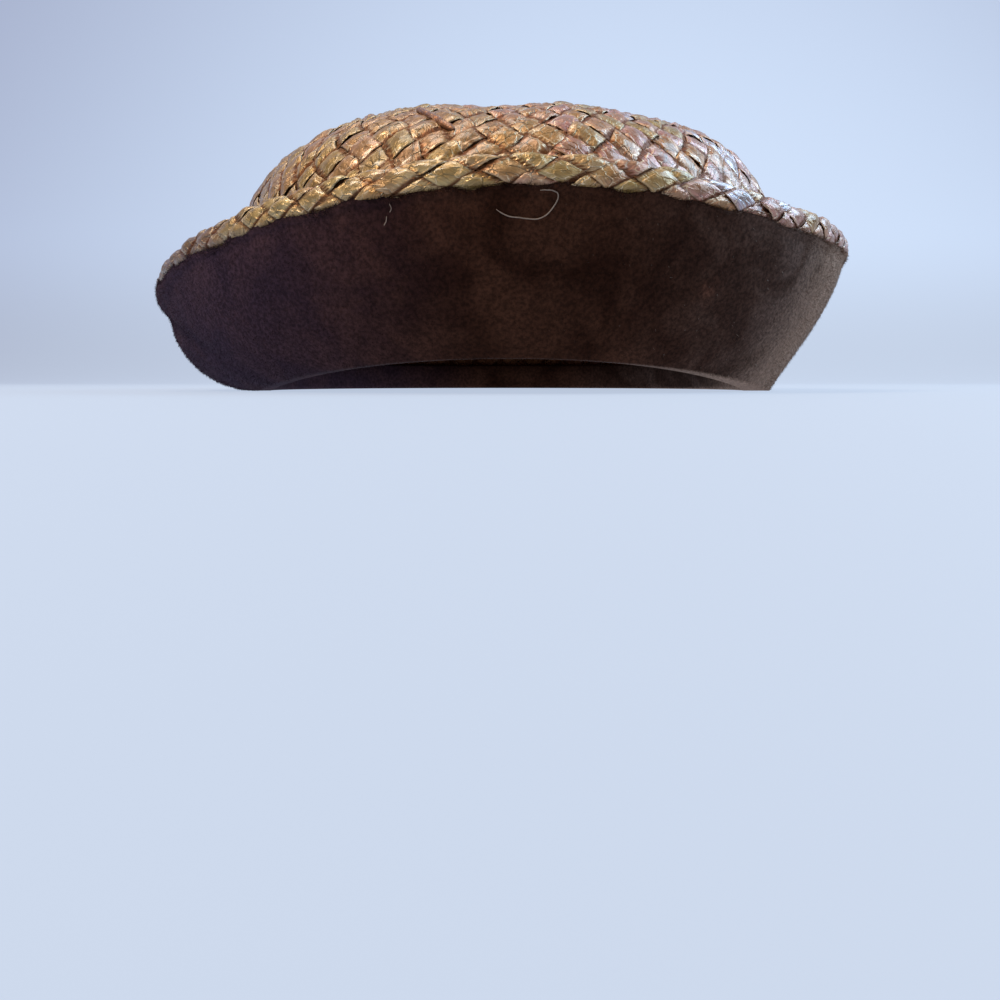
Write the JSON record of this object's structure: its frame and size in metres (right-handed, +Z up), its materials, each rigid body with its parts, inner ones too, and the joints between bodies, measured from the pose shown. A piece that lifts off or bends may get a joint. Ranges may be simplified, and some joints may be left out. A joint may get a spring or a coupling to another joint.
{
  "type": "tilt hat",
  "caption": "Small oval tilt hat of woven glossy straw, with a deep brim turned up all round, a rolled woven rim and a short brown plush facing on the brim's outside.",
  "frame": {"origin": "middle of the hat's outline seen from above, on the surface the hat rests on", "axes": "+Z up, -Y towards the front of the hat, +X towards its right side in a view from the front"},
  "size_m": [0.2042, 0.2276, 0.0783],
  "materials": {
    "straw": "glossy woven straw ribbon in gold, bronze and mauve brown",
    "plush": "short dark brown plush"
  },
  "bodies": {
    "root": {"crown": "straw", "brim": "straw", "brim_facing": "plush"}
  },
  "joints": []
}
